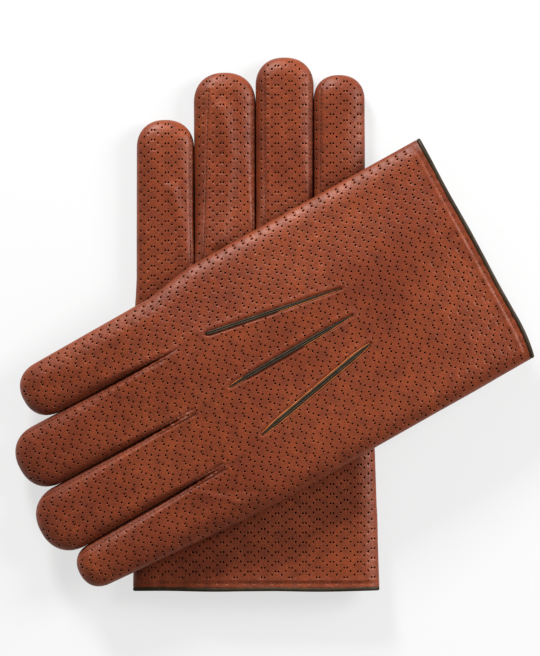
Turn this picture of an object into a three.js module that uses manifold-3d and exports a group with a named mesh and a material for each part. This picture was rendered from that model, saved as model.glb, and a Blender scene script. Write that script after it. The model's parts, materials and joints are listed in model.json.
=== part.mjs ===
// A pair of men's unlined leather gloves, laid crossed with their backs up. Millimetres, +Z up.
// Each glove is cut in its own flat frame: x across the hand, y from the cuff to the fingertips,
// z up from its underside. It is then eased over the folded thumb, and the top glove over the lower.
import * as THREE from "three";
import { mergeVertices } from "three/addons/utils/BufferGeometryUtils.js";
import { TessellateModifier } from "three/addons/modifiers/TessellateModifier.js";
import Module from "manifold-3d";

// Leather and thickness.
const LEATHER = 0.9;
const SEAM_GAP = 0.3;
const GLOVE_HEIGHT = 10.5;
const RIM_ROLL = 5;
const RIM_BAND = 1.7;
const RIM_STEPS = 1;
const TIP_STEPS = 5;

// Blocks that cut the leather reach past it by this much, and the longest edge left on a piece.
const RUNOUT = 12;
const PAST_FACE = 1;
const LONGEST_EDGE = 24;
const EDGE_HALVINGS = 12;

// Hand outline, from the little-finger side (-x) to the index side (+x), cuff at y = 0.
// The webs are where the fingers part: little and ring, ring and middle, middle and index.
const GLOVES = {
  left: {
    side: 1,
    webs: [[-28.5, 146], [-0.1, 155], [26.6, 153]],
    indexEdge: [[57, 0], [55, 61], [50.7, 150]],
    littleEdge: [[-55, 143], [-56, 130], [-57, 0]],
    fingers: {
      little: { centre: -41.9, width: 26.2, tip: 216, fold: 178 },
      ring: { centre: -14.3, width: 27.8, tip: 238, fold: 193 },
      middle: { centre: 13.25, width: 26.1, tip: 245, fold: 198 },
      index: { centre: 38.8, width: 23.8, tip: 237, fold: 202 },
    },
  },
  right: {
    side: -1,
    webs: [[-25.7, 146], [3.2, 155], [33, 153]],
    indexEdge: [[57, 0], [58.3, 84], [59.3, 125], [57.8, 150]],
    littleEdge: [[-52, 143], [-56, 120], [-57, 0]],
    fingers: {
      little: { centre: -38.9, width: 25.8, tip: 217, fold: 181 },
      ring: { centre: -11.25, width: 28.3, tip: 233, fold: 190 },
      middle: { centre: 18.1, width: 29.2, tip: 239, fold: 196 },
      index: { centre: 45.4, width: 24.2, tip: 232.5, fold: 192 },
    },
  },
};
const FINGER_START = 130;

// A box round a whole glove, from past its cuff to past its fingertips.
const GLOVE_REACH = 70;
const GLOVE_END = 260;
const FINGERTIP_ROUNDNESS = 0.95;

// Three raised points on the back: finger end and wrist end of each.
const POINTS = [
  [[-25.1, 128.2], [-13.5, 62.5]],
  [[1.5, 130.2], [-0.3, 64.6]],
  [[28, 127.7], [15.1, 63.4]],
];
const POINT_WIDTH = 1.9;
const POINT_HEIGHT = 1.9;
const POINT_PROUD = 0.9;

// Piping round the cuff's edge.
const CUFF_PIPING = { width: 1.9, thickness: 1.7 };

// Gusset between two fingers: half its span, its reach into the hand and its height.
const GUSSET = { halfSpan: 8, reach: 7, height: 5.6 };

// Thumb, folded in under the palm: its root is a point on the palm's index side.
const THUMB = {
  root: [36, 58], length: 70, rootWidth: 30, tipWidth: 25, height: 3.6, roll: 1.7, band: 0.4,
};
const THUMB_TUCK = THREE.MathUtils.degToRad(28);

// The palm is eased up over the thumb, and comes back down to the little-finger side and fingers.
const THUMB_LIFT = { height: 4.1, foot: -57, crest: -11, full: 131, gone: 187 };

// Where the gloves lie: the cuff centre and the turn of each glove about z.
const LOWER = { cuff: [-7.7, -122], turn: 0, level: 0 };
const UPPER = { cuff: [93.4, 34.7], turn: THREE.MathUtils.degToRad(118.7), level: 16 };
const THUMB_REST = { left: 0, right: 0.05 };

// The upper glove sags past the lower one: from each of these x, by this rise per square millimetre.
const SAG = { fingersFrom: -45, fingersRate: 0.0021, cuffFrom: 58, cuffRate: 0.001 };

const COLOURS = {
  back: { color: 0x854128, roughness: 0.55 },
  palm: { color: 0x7a3a25, roughness: 0.6 },
  gusset: { color: 0x70341f, roughness: 0.6 },
  finger: { color: 0x8a452c, roughness: 0.55 },
  thumb: { color: 0x7d3c26, roughness: 0.58 },
  piping: { color: 0x3d3324, roughness: 0.7 },
};

const wasm = await Module();
wasm.setup();

function solidFrom(geometry) {
  geometry.deleteAttribute("normal");
  geometry.deleteAttribute("uv");
  const merged = mergeVertices(geometry, 1e-4);
  return new wasm.Manifold(
    new wasm.Mesh({
      numProp: 3,
      vertProperties: merged.attributes.position.array,
      triVerts: new Uint32Array(merged.index.array),
    }),
  );
}

function geometryFrom(solid) {
  const mesh = solid.getMesh();
  return new THREE.BufferGeometry()
    .setAttribute("position", new THREE.BufferAttribute(mesh.vertProperties, 3))
    .setIndex(new THREE.BufferAttribute(mesh.triVerts, 1));
}

const joined = (solids) => solids.reduce((all, solid) => all.add(solid));

function block(from, to) {
  const size = to.map((value, axis) => value - from[axis]);
  const geometry = new THREE.BoxGeometry(...size);
  geometry.translate(...from.map((value, axis) => value + size[axis] / 2));
  return solidFrom(geometry);
}

// A flat cushion-edged plate: full size at mid height, with its rim rolled in above and below.
function plate(outline, low, height, roll, band) {
  const bevelThickness = (height - band) / 2;
  const geometry = new THREE.ExtrudeGeometry(outline, {
    depth: band,
    bevelThickness,
    bevelSize: roll,
    bevelOffset: -roll,
    bevelSegments: RIM_STEPS,
    curveSegments: TIP_STEPS,
  });
  geometry.translate(0, 0, low + bevelThickness);
  return solidFrom(geometry);
}

// The hand's outline, drawn in by inset except at the open cuff.
function handOutline({ side, webs, indexEdge, littleEdge }, inset) {
  const edge = [
    [indexEdge[0][0] - inset, -RUNOUT],
    ...indexEdge.map(([x, y]) => [x - inset, Math.min(y, indexEdge.at(-1)[1] - inset)]),
    ...webs.toReversed().map(([x, y]) => [x, y - inset]),
    ...littleEdge.map(([x, y]) => [x + inset, Math.min(y, littleEdge[0][1] - inset)]),
    [littleEdge.at(-1)[0] + inset, -RUNOUT],
  ];
  return new THREE.Shape(edge.map(([x, y]) => new THREE.Vector2(side * x, y)));
}

function fingerOutline(side, { centre, width, tip }, inset) {
  const half = width / 2 - inset;
  const round = half * FINGERTIP_ROUNDNESS;
  const x = side * centre;
  const shape = new THREE.Shape();
  shape.moveTo(x - half, FINGER_START + inset);
  shape.lineTo(x + half, FINGER_START + inset);
  shape.lineTo(x + half, tip - inset - round);
  shape.absellipse(x, tip - inset - round, half, round, 0, Math.PI, false);
  return shape;
}

// Everything inside the glove's outer surface (inset 0) or its inner surface (inset LEATHER).
function envelope(glove, inset) {
  const height = GLOVE_HEIGHT - 2 * inset;
  const roll = RIM_ROLL - inset;
  const outlines = [
    handOutline(glove, inset),
    ...Object.values(glove.fingers).map((finger) => fingerOutline(glove.side, finger, inset)),
  ];
  return joined(outlines.map((outline) => plate(outline, inset, height, roll, RIM_BAND)));
}

// The part of the frame past a finger's fold line, as wide as that finger.
function beyondFold(side, { centre, width, fold, tip }, from) {
  const half = width / 2 + SEAM_GAP / 2;
  const x = side * centre;
  return block(
    [x - half, fold + from, -PAST_FACE],
    [x + half, tip + PAST_FACE, GLOVE_HEIGHT + PAST_FACE],
  );
}

function gussetBlock(side, [webX, webY], margin) {
  const { halfSpan, reach, height } = GUSSET;
  const middle = GLOVE_HEIGHT / 2;
  return block(
    [side * webX - halfSpan - margin, webY - reach - margin, middle - height / 2 - margin],
    [side * webX + halfSpan + margin, GLOVE_END, middle + height / 2 + margin],
  );
}

// A long narrow lens along +y, from a wrist end to a finger end.
function pointSolid(side, [fingerEnd, wristEnd], margin) {
  const [tip, root] = [fingerEnd, wristEnd].map(([x, y]) => new THREE.Vector2(side * x, y));
  const length = tip.distanceTo(root) + 2 * margin;
  const half = POINT_WIDTH / 2 + margin;
  const bulge = 2 * half;
  const outline = new THREE.Shape();
  outline.moveTo(0, 0);
  outline.quadraticCurveTo(bulge, length / 2, 0, length);
  outline.quadraticCurveTo(-bulge, length / 2, 0, 0);
  const geometry = new THREE.ExtrudeGeometry(outline, {
    depth: POINT_HEIGHT + 2 * margin,
    bevelEnabled: false,
    curveSegments: TIP_STEPS,
  });
  const along = tip.clone().sub(root);
  geometry.translate(0, -margin, GLOVE_HEIGHT + POINT_PROUD - POINT_HEIGHT - margin);
  geometry.rotateZ(along.angle() - Math.PI / 2);
  geometry.translate(root.x, root.y, 0);
  return solidFrom(geometry);
}

function thumbSolid(side, low) {
  const { root, length, rootWidth, tipWidth, height, roll, band } = THUMB;
  const outline = (inset) => {
    const [wide, narrow] = [rootWidth / 2 - inset, tipWidth / 2 - inset];
    const shape = new THREE.Shape();
    shape.moveTo(-wide, -RUNOUT);
    shape.lineTo(wide, -RUNOUT);
    shape.lineTo(narrow, length - inset - narrow);
    shape.absellipse(0, length - inset - narrow, narrow, narrow, 0, Math.PI, false);
    return shape;
  };
  const outer = plate(outline(0), low, height, roll, band);
  const inner = plate(outline(LEATHER), low + LEATHER, height - 2 * LEATHER, roll / 2, band);
  const open = block(
    [-rootWidth, -2 * RUNOUT, low - PAST_FACE],
    [rootWidth, 0, low + height + PAST_FACE],
  );
  const geometry = geometryFrom(outer.subtract(inner).subtract(open));
  geometry.rotateZ(side * THUMB_TUCK);
  geometry.translate(side * root[0], root[1], 0);
  return solidFrom(geometry);
}

// Smooth step from 0 to 1 as value goes from start to end.
function eased(value, start, end) {
  const t = THREE.MathUtils.clamp((value - start) / (end - start), 0, 1);
  return t * t * (3 - 2 * t);
}

function thumbLift(side, x, y) {
  const { height, foot, crest, full, gone } = THUMB_LIFT;
  return height * eased(side * x, foot, crest) * (1 - eased(y, full, gone));
}

function sag(x, y) {
  const worldX = UPPER.cuff[0] + x * Math.cos(UPPER.turn) - y * Math.sin(UPPER.turn);
  const pastFingers = Math.max(0, SAG.fingersFrom - worldX);
  const pastCuff = Math.max(0, worldX - SAG.cuffFrom);
  return -SAG.fingersRate * pastFingers ** 2 - SAG.cuffRate * pastCuff ** 2;
}

// Cuts long edges, then moves each vertex up or down by rise(x, y).
function draped(solid, rise) {
  const fine = new TessellateModifier(LONGEST_EDGE, EDGE_HALVINGS).modify(geometryFrom(solid));
  const position = fine.getAttribute("position");
  for (let i = 0; i < position.count; i++) {
    position.setZ(i, position.getZ(i) + rise(position.getX(i), position.getY(i)));
  }
  const geometry = mergeVertices(fine, 1e-4);
  geometry.computeVertexNormals();
  return geometry;
}

function leatherMesh(name, geometry, finish) {
  const mesh = new THREE.Mesh(geometry, new THREE.MeshStandardMaterial({ metalness: 0, ...finish }));
  mesh.name = name;
  return mesh;
}

function makeGlove(hand, glove, place) {
  const { side, webs } = glove;
  const group = new THREE.Group();
  const ownSag = hand === "right" ? sag : () => 0;
  const rise = (x, y) => thumbLift(side, x, y) + ownSag(x, y);
  const add = (name, solid, finish, lift = rise) =>
    group.add(leatherMesh(`${hand}_${name}`, draped(solid, lift), finish));

  const wide = GLOVE_REACH;
  const top = GLOVE_HEIGHT + PAST_FACE;
  const pastCuff = block([-wide, -2 * RUNOUT, -PAST_FACE], [wide, 0, top]);
  const shell = envelope(glove, 0).subtract(envelope(glove, LEATHER)).subtract(pastCuff);
  const fingers = Object.entries(glove.fingers);
  const distal = joined(fingers.map(([, finger]) => beyondFold(side, finger, -SEAM_GAP / 2)));
  const handShell = shell.subtract(distal);

  const gussetSpace = joined(webs.map((web) => gussetBlock(side, web, SEAM_GAP)));
  const [backFrom, palmTo] = [SEAM_GAP, -SEAM_GAP].map((gap) => (GLOVE_HEIGHT + gap) / 2);
  const upperHalf = block([-wide, -PAST_FACE, backFrom], [wide, GLOVE_END, top]);
  const lowerHalf = block([-wide, -PAST_FACE, -PAST_FACE], [wide, GLOVE_END, palmTo]);
  const slits = joined(POINTS.map((ends) => pointSolid(side, ends, SEAM_GAP)));
  const panels = handShell.subtract(gussetSpace);
  add("back_panel", panels.intersect(upperHalf).subtract(slits), COLOURS.back);
  add("palm_panel", panels.intersect(lowerHalf), COLOURS.palm);

  webs.forEach((web, i) => {
    const names = fingers.map(([name]) => name);
    add(`fourchette_${names[i]}_${names[i + 1]}`,
      handShell.intersect(gussetBlock(side, web, 0)), COLOURS.gusset);
  });
  for (const [name, finger] of fingers) {
    add(`${name}_finger`, shell.intersect(beyondFold(side, finger, SEAM_GAP / 2)), COLOURS.finger);
  }
  add("thumb", thumbSolid(side, THUMB_REST[hand]), COLOURS.thumb, ownSag);
  POINTS.forEach((ends, i) => add(`back_point_${i + 1}`, pointSolid(side, ends, 0), COLOURS.piping));

  const { width, thickness } = CUFF_PIPING;
  const hollow = plate(handOutline(glove, thickness), thickness, GLOVE_HEIGHT - 2 * thickness,
    RIM_ROLL - thickness, RIM_BAND);
  const cuffRing = plate(handOutline(glove, 0), 0, GLOVE_HEIGHT, RIM_ROLL, RIM_BAND)
    .subtract(hollow)
    .intersect(block([-wide, -SEAM_GAP - width, -PAST_FACE], [wide, -SEAM_GAP, top]));
  add("cuff_piping", cuffRing, COLOURS.piping);

  group.rotation.z = place.turn;
  group.position.set(...place.cuff, place.level);
  return group;
}

const group = new THREE.Group();
group.add(makeGlove("left", GLOVES.left, LOWER), makeGlove("right", GLOVES.right, UPPER));
group.updateMatrixWorld(true);

// The part's origin is at the middle of its footprint, on the surface it lies on.
const extent = new THREE.Box3().setFromObject(group, true);
const middle = extent.getCenter(new THREE.Vector3());
group.position.set(-middle.x, -middle.y, -extent.min.z);

export default group;
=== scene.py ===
"""A pair of men's perforated leather gloves, laid crossed with their backs up.

Each glove is drawn flat, in millimetres: u runs across the hand towards the index finger, v from the
cuff to the fingertips. Its skins are then given their thickness and laid where the frame has them.
"""
import json
import math

import bmesh
import bpy
import numpy as np
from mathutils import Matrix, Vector
from mathutils.geometry import delaunay_2d_cdt


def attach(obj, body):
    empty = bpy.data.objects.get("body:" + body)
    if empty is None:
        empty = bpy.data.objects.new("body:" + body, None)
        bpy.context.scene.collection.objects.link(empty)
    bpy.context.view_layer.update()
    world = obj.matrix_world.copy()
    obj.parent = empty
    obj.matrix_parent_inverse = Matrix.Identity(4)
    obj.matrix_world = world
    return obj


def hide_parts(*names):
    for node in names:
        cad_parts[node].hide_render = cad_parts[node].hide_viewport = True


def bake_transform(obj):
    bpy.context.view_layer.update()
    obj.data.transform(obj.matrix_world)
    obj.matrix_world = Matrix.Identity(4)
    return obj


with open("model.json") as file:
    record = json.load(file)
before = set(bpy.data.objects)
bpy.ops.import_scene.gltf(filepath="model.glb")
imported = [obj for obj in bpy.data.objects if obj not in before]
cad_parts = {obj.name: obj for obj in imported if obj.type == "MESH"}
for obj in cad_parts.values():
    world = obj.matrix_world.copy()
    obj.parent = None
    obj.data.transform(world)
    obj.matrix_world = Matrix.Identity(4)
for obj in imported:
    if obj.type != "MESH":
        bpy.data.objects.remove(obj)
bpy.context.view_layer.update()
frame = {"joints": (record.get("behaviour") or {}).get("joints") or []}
MM = 0.001

# ---------------------------------------------------------------- dimensions of a glove, in mm
THICKNESS = 10.5
MIDDLE = THICKNESS / 2
LEATHER = 0.9
HAND_SWELL = 5.0
FINGER_SWELL = 5.2
SIDE_ROLL = 10.0
TIP_ROLL = 8.5

GLOVES = {
    "left": {
        "side": 1,
        "index_edge": ((0, 57), (61, 55), (150, 50.7), (250, 50.7)),
        "little_edge": ((0, -57), (130, -56), (143, -55.4), (250, -55.4)),
        "fingers": {
            "little": {"root": (-55.4, -28.5), "end": (-55.3, -28.9), "tip": 216.4, "fold": 178},
            "ring": {"root": (-28.5, -0.1), "end": (-28.9, -0.3), "tip": 238.3, "fold": 193},
            "middle": {"root": (-0.1, 26.6), "end": (-0.3, 26.6), "tip": 245.3, "fold": 198},
            "index": {"root": (26.6, 50.7), "end": (26.6, 50.2), "tip": 237.2, "fold": 202},
        },
    },
    "right": {
        "side": -1,
        "index_edge": ((0, 57), (84, 58.3), (130, 59.6), (150, 59), (250, 59)),
        "little_edge": ((0, -57), (120, -56), (143, -52), (250, -52)),
        "fingers": {
            "little": {"root": (-52, -25.3), "end": (-50.9, -26.3), "tip": 216.6, "fold": 181},
            "ring": {"root": (-25.3, 3.7), "end": (-26.3, 3.1), "tip": 233.4, "fold": 190},
            "middle": {"root": (3.7, 32.4), "end": (3.1, 34.0), "tip": 238.8, "fold": 196},
            "index": {"root": (32.4, 59), "end": (34.0, 54.6), "tip": 232.2, "fold": 192},
        },
    },
}
FORKS = (146, 155, 153)
ROOT_V = 150
END_V = 225
FINGER_ROOT = 138.0
CREASE_START = 1.0
CREASE_WIDE = 6.2
CREASE_LENGTH = 62
CREASE_DEEPENS = (-8, 26)
FINGER_EASE = 10
TIP_SQUARENESS = 2.25

# Three raised points on the back: finger end and wrist end of each, as (u, v).
POINTS = (
    ((-25.1, 128.2), (-13.5, 62.5)),
    ((1.5, 130.2), (-0.3, 64.6)),
    ((28.0, 127.7), (15.1, 63.4)),
)

# Perforations: arches of four holes in columns, every other column dropped by part of a row.
COLUMN = 6.36
ROW = 4.5
HOLE_RADIUS = 0.49
RIM_RADIUS = 0.62
HOLE_SIDES = 8
HOLE_LENGTHEN = 1.1
HOLE_DEPTH = 0.75
RIM_DEPTH = 0.15
PAIR_HALF = 0.70
SHOULDER_OUT = 2.25
SHOULDER_DOWN = 1.5
COLUMN_DROP = 1.75
CELL_MARGIN = 0.625
CELL_GRID = (14, 5)
CELL_FILLER_AWAY = 0.22
WALL_TAPER = 0.92
SHEET_COLUMNS = 10
SHEET_ROWS = 57
SHEET_CENTRE_V = 120.0
HOLE_MARGIN = 1.25
CUFF_CLEAR = 3.2
SEAM_CLEAR = 0.95
POINT_CLEAR = 2.0

# How the gloves lie: eased up over the folded thumb, the upper one sagging past the lower one.
THUMB_LIFT = {"height": 4.1, "foot": -57, "crest": -11, "full": 131, "gone": 187}
UPPER_TURN = math.radians(118.7)
UPPER_LEVEL = 16.0
SAG = {"fingers_from": -45, "fingers_rate": 0.0021, "cuff_from": 58, "cuff_rate": 0.001}
LOWER_CUFF_X = -7.7
THUMB = {"root": (36, 58), "length": 70, "root_width": 30, "tip_width": 25, "height": 3.6}
THUMB_TUCK = math.radians(28)
THUMB_REST = 0.05
THUMB_ROLL = 5.0
THUMB_FOOT = 4
THUMB_SEEDS = {"left": 21, "right": 22}

# The index corner of each cuff is drawn in towards the fingers, from one u outwards, fading along v.
CORNER_PULL = {"left": 0.3, "right": 1.9}
CORNER_FROM = 38
CORNER_REACH = 19
CORNER_FADE = 9

# Half the length of the band about each finger's fold line, and the step between seam gathers.
FOLD_REACH = 8.0
GATHER = 2.3


def eased(value, start, end):
    t = np.clip((value - start) / (end - start), 0, 1)
    return t * t * (3 - 2 * t)


# ---------------------------------------------------------------- where each glove lies, from the frame
def joint_place(name):
    joint = next(j for j in frame["joints"] if j["name"] == name)
    return np.array(joint["pos_m"]) / MM


def place_glove(hand):
    """The glove's cuff centre and turn, found from its thumb's hinge."""
    glove = GLOVES[hand]
    glove["hand"] = hand
    glove["turn"] = UPPER_TURN if hand == "right" else 0.0
    glove["level"] = UPPER_LEVEL if hand == "right" else 0.0
    c, s = math.cos(glove["turn"]), math.sin(glove["turn"])
    x, y = glove["side"] * THUMB["root"][0], THUMB["root"][1]
    hinge = joint_place(f"{hand}_thumb_swing")
    for name in ("little", "index"):
        glove["fingers"][name][f"{name}_edge"] = tuple(zip(*glove[f"{name}_edge"]))
    glove["cuff"] = (hinge[0] - (x * c - y * s), hinge[1] - (x * s + y * c))


for hand_name in GLOVES:
    place_glove(hand_name)
FRAME_SHIFT_X = GLOVES["left"]["cuff"][0] - LOWER_CUFF_X


def faded(distance, width, power=2):
    """1 on a line, falling away from it over the given half width."""
    return np.exp(-(distance / width) ** power)


def plan(glove, u, v):
    """Flat glove place to table place. The index corner of the cuff is drawn in a little."""
    corner = np.clip((u - CORNER_FROM) / CORNER_REACH, 0, 1) ** 2 * faded(v, CORNER_FADE)
    v = v + CORNER_PULL[glove["hand"]] * corner
    x = glove["side"] * u
    c, s = math.cos(glove["turn"]), math.sin(glove["turn"])
    return glove["cuff"][0] + x * c - v * s, glove["cuff"][1] + x * s + v * c


def sag(glove, x):
    if glove["hand"] == "left":
        return np.zeros_like(x)
    past_fingers = np.maximum(0, SAG["fingers_from"] + FRAME_SHIFT_X - x)
    past_cuff = np.maximum(0, x - SAG["cuff_from"] - FRAME_SHIFT_X)
    return -SAG["fingers_rate"] * past_fingers ** 2 - SAG["cuff_rate"] * past_cuff ** 2


def thumb_lift(u, v):
    lift = THUMB_LIFT
    return lift["height"] * eased(u, lift["foot"], lift["crest"]) * (1 - eased(v, lift["full"], lift["gone"]))


def laid(glove, u, v, z, lifted=True):
    """Points of the flat glove, laid in the frame, in metres."""
    x, y = plan(glove, u, v)
    height = z + glove["level"] + sag(glove, x) + (thumb_lift(u, v) if lifted else 0)
    return np.column_stack([x, y, height]) * MM


# ---------------------------------------------------------------- the form of a glove
def swell(distance, roll):
    """A quarter round: 0 at the edge, 1 from roll inwards."""
    t = np.clip((distance - 0.03) / roll, 0, 1)
    return np.sqrt(np.maximum(1 - (1 - t) ** 2, 0))


def edge_at(glove, name, v):
    vs, us = zip(*glove[name])
    return np.interp(v, vs, us)


def hand_side(glove, u, v):
    return np.minimum(u - edge_at(glove, "little_edge", v), edge_at(glove, "index_edge", v) - u)


def finger_span(finger, v):
    """The middle and the half width of a finger at each v."""
    t = np.clip((v - ROOT_V) / (END_V - ROOT_V), 0, 1)
    low, high = (root + t * (end - root) for root, end in zip(finger["root"], finger["end"]))
    if "little_edge" in finger:
        low = np.where(v < ROOT_V, np.interp(v, *finger["little_edge"]), low)
    if "index_edge" in finger:
        high = np.where(v < ROOT_V, np.interp(v, *finger["index_edge"]), high)
    return (low + high) / 2, (high - low) / 2


def finger_distance(finger, u, v):
    centre, half = finger_span(finger, v)
    ahead = np.maximum(v - (finger["tip"] - half), 0)
    n = TIP_SQUARENESS
    return half - (np.abs(u - centre) ** n + ahead ** n) ** (1 / n)


def gap_at(glove, number, v):
    """The line between finger number and the next."""
    pair = list(glove["fingers"].values())[number:number + 2]
    (a, half_a), (b, half_b) = (finger_span(finger, v) for finger in pair)
    return (a + half_a + b - half_b) / 2


def finger_number(glove, u, v):
    return sum((u > gap_at(glove, number, v)).astype(int) for number in range(len(FORKS)))


def side_roll(fork, v):
    """How far a finger's side rolls in from a gap, and how strongly, from the fork outwards."""
    first, last = CREASE_DEEPENS
    width = CREASE_START + CREASE_WIDE * eased(v, fork, fork + CREASE_LENGTH)
    return width, eased(v, fork + first, fork + last)


def finger_form(glove, number, u, v):
    """From 0 at the finger's outline to 1 along its middle."""
    finger = list(glove["fingers"].values())[number]
    centre, half = finger_span(finger, v)
    outside = (np.full_like(v, SIDE_ROLL), np.ones_like(v))
    low = side_roll(FORKS[number - 1], v) if number else outside
    high = side_roll(FORKS[number], v) if number < len(FORKS) else outside
    share = eased(u, centre - 0.6 * half, centre + 0.6 * half)
    roll, depth = (a + share * (b - a) for a, b in zip(low, high))
    at_tip = eased(v, finger["tip"] - 2 * half, finger["tip"] - half)
    roll = roll + at_tip * (TIP_ROLL - roll)
    return 1 - depth * (1 - swell(finger_distance(finger, u, v), roll))


def half_thickness(glove, u, v):
    """From the middle of the glove's thickness to its outer surface."""
    hand = swell(hand_side(glove, u, v), SIDE_ROLL)
    number = finger_number(glove, u, v)
    fingers = np.choose(number, [finger_form(glove, n, u, v) for n in range(len(FORKS) + 1)])
    share = eased(v, FINGER_ROOT, FINGER_ROOT + FINGER_EASE)
    height = HAND_SWELL + (FINGER_SWELL - HAND_SWELL) * share
    return height * (hand + share * (fingers - hand))


def waves(u, v, seed, length, count=9):
    """Soft uneven swells of the given length, from -1 to 1."""
    rng = np.random.default_rng(seed)
    total = np.zeros_like(u)
    for _ in range(count):
        angle, phase = rng.uniform(0, math.tau), rng.uniform(0, math.tau)
        stretch = rng.uniform(0.6, 1.5)
        k = math.tau / (length * stretch)
        total += np.sin(k * (u * math.cos(angle) + v * math.sin(angle)) + phase)
    return total / count ** 0.5 / 1.5


def line_distance(u, v, start, end):
    """Distance to a straight line between two places, and how far along it (0 to 1)."""
    d = np.subtract(end, start)
    t = np.clip(((u - start[0]) * d[0] + (v - start[1]) * d[1]) / (d @ d), 0, 1)
    return np.hypot(u - start[0] - t * d[0], v - start[1] - t * d[1]), t


def seam_lines(glove):
    """The sewn lines that show on the back: one down each side of a finger that has a gusset."""
    lines = []
    for name, finger in glove["fingers"].items():
        for way, (root, tip) in SEAM_INSETS[glove["hand"]][name].items():
            side = 0 if way == "little" else 1
            inward = 1 - 2 * side
            start = (finger["root"][side] + inward * root, float(ROOT_V))
            end_v = finger["tip"] - (finger["end"][1] - finger["end"][0]) * 0.3
            lines.append((name, start, (finger["end"][side] + inward * tip, end_v)))
    return lines


# How far each seam lies inside its finger's edge, at the root and at the tip.
SEAM_INSETS = {
    "left": {
        "little": {"index": (1.9, 1.7)},
        "ring": {"little": (4.2, 7.0), "index": (1.5, 1.5)},
        "middle": {"little": (4.2, 4.4), "index": (1.5, 1.6)},
        "index": {"little": (3.0, 3.5)},
    },
    "right": {
        "little": {"index": (1.3, 1.5)},
        "ring": {"little": (1.5, 1.7), "index": (1.3, 1.5)},
        "middle": {"little": (1.5, 1.9), "index": (1.3, 1.5)},
        "index": {"little": (1.6, 2.4)},
    },
}
# Soft ridges where the leather buckles: the places each runs through, its half width, its height.
BUCKLES = {
    "left": (
        (((-16.0, 221), (-12.2, 200), (-17.2, 160)), 3.9, 1.35),
        (((-38.8, 184), (-34.0, 166), (-32.4, 144)), 3.0, 1.1),
        (((-45, 200), (-42, 165)), 3.0, 0.25),
        (((8, 228), (12, 196)), 3.5, 0.3), (((40, 215), (36, 188)), 3.0, 0.3),
    ),
    "right": (
        (((-44, 206), (-37, 178)), 3.2, 0.22), (((-12, 224), (-17, 196)), 3.4, 0.25),
        (((22, 226), (15, 200)), 3.2, 0.22), (((40, 224), (45, 186)), 3.4, 0.25),
        (((38, 166), (52, 150)), 1.6, 0.25), (((40, 160), (50, 142)), 1.4, -0.22),
        (((-20, 160), (-28, 132)), 2.0, 0.2), (((6, 168), (0, 140)), 2.0, 0.2),
    ),
}


# Relief of the outer surface. Waves are (height, length), valleys and banks (height, half width).
WAVE_SEEDS = {"left": 3, "right": 11}
PALM_SEED_STEP = 50
LONG_WAVE = (0.16, 46)
SHORT_WAVE = (0.07, 15)
FORK_WAVE = (0.2, 8)
CUFF_WAVE = (0.22, 5.5)
WAVE_REACH = 7
SEAM_VALLEY = (0.34, 0.55)
SEAM_BANK = (0.16, 0.7)
SEAM_BANK_AWAY = 1.3
GATHER_HEIGHT = 0.07
CUFF_SEAM_V = 2.0
CUFF_VALLEY = (0.42, 0.6)
CUFF_BANK_V = 3.4
CUFF_BANK = (0.2, 0.8)
POINT_VALLEY = (0.55, 0.55)
POINT_BANK = (0.25, 1.0)
POINT_BANK_AWAY = 1.5


def relief(glove, u, v, face):
    """Wrinkles, seam valleys and the pull of the points, added to the outer surface."""
    seed = WAVE_SEEDS[glove["hand"]] + (0 if face > 0 else PALM_SEED_STEP)
    side = np.clip(half_thickness(glove, u, v) / HAND_SWELL, 0, 1)
    height = LONG_WAVE[0] * waves(u, v, seed, LONG_WAVE[1])
    height = height + SHORT_WAVE[0] * waves(u, v, seed + 1, SHORT_WAVE[1])
    for gap, fork in enumerate(FORKS):
        distance = np.hypot(u - gap_at(glove, gap, v), (v - fork) * 0.6)
        pulled = waves(u * 1.6, v * 0.6, seed + 2, FORK_WAVE[1])
        height = height + FORK_WAVE[0] * faded(distance, WAVE_REACH) * pulled
    if face > 0:
        for places, width, rise in BUCKLES[glove["hand"]]:
            away = [line_distance(u, v, start, end)[0] for start, end in zip(places, places[1:])]
            height = height + rise * faded(np.min(away, axis=0), width)
    height = height + faded(v, WAVE_REACH) * CUFF_WAVE[0] * waves(u, v * 0.3, seed + 3, CUFF_WAVE[1])
    for _, start, end in seam_lines(glove):
        distance, _ = line_distance(u, v, start, end)
        gathers = np.sin(math.tau * (v - start[1]) / GATHER)
        height = height - SEAM_VALLEY[0] * faded(distance, SEAM_VALLEY[1])
        bank = SEAM_BANK[0] + GATHER_HEIGHT * gathers
        height = height + bank * faded(distance - SEAM_BANK_AWAY, SEAM_BANK[1])
    height = height - CUFF_VALLEY[0] * faded(v - CUFF_SEAM_V, CUFF_VALLEY[1])
    height = height + CUFF_BANK[0] * faded(v - CUFF_BANK_V, CUFF_BANK[1])
    if face > 0:
        for (finger_end, wrist_end), form in zip(POINTS, POINT_FORMS):
            distance, t = line_distance(u, v, wrist_end, finger_end)
            wide = form["half"] * opening(t, *form["taper"])
            height = height - POINT_VALLEY[0] * faded(distance, wide + POINT_VALLEY[1], 4)
            height = height + POINT_BANK[0] * faded(distance - wide - POINT_BANK_AWAY, POINT_BANK[1])
    return height * side


def outer(glove, u, v, face):
    """Height of the outer surface: face is 1 for the back of the hand and -1 for the palm."""
    return MIDDLE + face * (half_thickness(glove, u, v) + relief(glove, u, v, face))


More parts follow.
